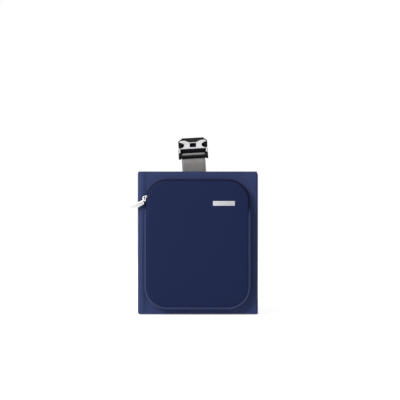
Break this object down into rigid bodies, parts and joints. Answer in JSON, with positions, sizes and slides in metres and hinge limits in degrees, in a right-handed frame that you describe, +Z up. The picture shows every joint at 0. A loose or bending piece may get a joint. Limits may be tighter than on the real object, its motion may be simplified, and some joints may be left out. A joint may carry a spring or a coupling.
{
  "type": "trolley handle pouch with bag strap",
  "caption": "Flat zipped pouch that wraps round a suitcase's telescopic handle, with a buckled webbing strap that holds a second bag against it.",
  "frame": {"origin": "middle of the trolley sleeve, left to right and front to back, at the pouch's bottom edge", "axes": "+Z up along the suitcase's handle rods, +Y to the back where the strapped bag sits, +X to the right as the pocket is faced"},
  "size_m": [0.1719, 0.1373, 0.2392],
  "materials": {
    "navy_cloth": "twill",
    "lining": "plain weave",
    "hook_and_loop": "matte",
    "board": "matte",
    "foam": "matte",
    "zip_tape": "fine weave",
    "zip_metal": "polished",
    "webbing": "ribbed weave",
    "elastic": "ribbed",
    "buckle_plastic": "satin",
    "buckle_plate": "metallic satin"
  },
  "bodies": {
    "pouch": {"front_panel": "navy_cloth", "panel_board": "board", "panel_lining": "lining", "top_hem": "navy_cloth", "bottom_hem": "navy_cloth", "left_side_band": "navy_cloth", "right_side_band": "navy_cloth", "rear_flange": "navy_cloth", "hook_tape": "hook_and_loop", "pocket_face": "navy_cloth", "face_foam": "foam", "pocket_gusset": "lining", "pocket_piping": "navy_cloth", "slip_pocket": "lining", "zip_tape_rear": "zip_tape", "zip_coil_rear": "zip_tape", "zip_stop_left": "zip_metal", "zip_stop_right": "zip_metal"},
    "pocket_flap": {"pocket_flap": "navy_cloth", "flap_foam": "foam", "zip_tape_front": "zip_tape", "zip_coil_front": "zip_tape", "badge": "zip_metal"},
    "zip_slider": {"zip_slider": "zip_metal"},
    "pull_ring": {"pull_ring": "zip_metal"},
    "pull_tab": {"pull_tab": "zip_metal"},
    "rear_wing": {"rear_wing": "navy_cloth", "wing_board": "board", "wing_lining": "lining", "loop_tape": "hook_and_loop", "anchor_patch_upper": "navy_cloth", "anchor_patch_lower": "navy_cloth", "strap_front": "webbing", "strap_rear": "webbing", "strap_top": "webbing", "buckle_female": "buckle_plastic", "buckle_cover": "buckle_plate"},
    "buckle_male": {"buckle_male": "buckle_plastic", "strap_free_end": "webbing", "strap_keeper": "elastic"},
    "left_arm": {"left_arm": "buckle_plastic"},
    "right_arm": {"right_arm": "buckle_plastic"}
  },
  "joints": [
    {"name": "flap_open", "type": "hinge", "parent": "pouch", "child": "pocket_flap", "pos_m": [0, -0.023, 0.141], "axis": [1, 0, 0], "range_deg": [0, 100]},
    {"name": "zip_slider_travel", "type": "hinge", "parent": "pouch", "child": "zip_slider", "pos_m": [-0.0407, -0.0166, 0.1503], "axis": [0, 1, 0], "range_deg": [0, 80]},
    {"name": "pull_ring_swing", "type": "hinge", "parent": "zip_slider", "child": "pull_ring", "pos_m": [-0.07133, -0.0166, 0.15439], "axis": [0, 1, 0], "range_deg": [-15, 105]},
    {"name": "pull_tab_swing", "type": "hinge", "parent": "pull_ring", "child": "pull_tab", "pos_m": [-0.07416, -0.0166, 0.14831], "axis": [0, 1, 0], "range_deg": [-35, 30]},
    {"name": "rear_wing_open", "type": "hinge", "parent": "pouch", "child": "rear_wing", "pos_m": [-0.0785, 0.0142, 0.094], "axis": [0, 0, 1], "range_deg": [0, 150]},
    {"name": "buckle_release", "type": "slide", "parent": "rear_wing", "child": "buckle_male", "axis": [-0.0344, 0.788, 0.6147], "range_m": [0, 0.026], "deforming": ["strap_top", "left_arm", "right_arm"]},
    {"name": "left_arm_press", "type": "hinge", "parent": "buckle_male", "child": "left_arm", "pos_m": [-0.02121, 0.04991, 0.23279], "axis": [-0.044, -0.6157, 0.7868], "range_deg": [0, 13], "stiffness_Nm_per_rad": 0.02},
    {"name": "right_arm_press", "type": "hinge", "parent": "buckle_male", "child": "right_arm", "pos_m": [0.00674, 0.04991, 0.23436], "axis": [0.044, 0.6157, -0.7868], "range_deg": [0, 13], "stiffness_Nm_per_rad": 0.02}
  ],
  "couplings": [
    {"joint": "right_arm_press", "follows": "left_arm_press", "ratio": 1}
  ]
}
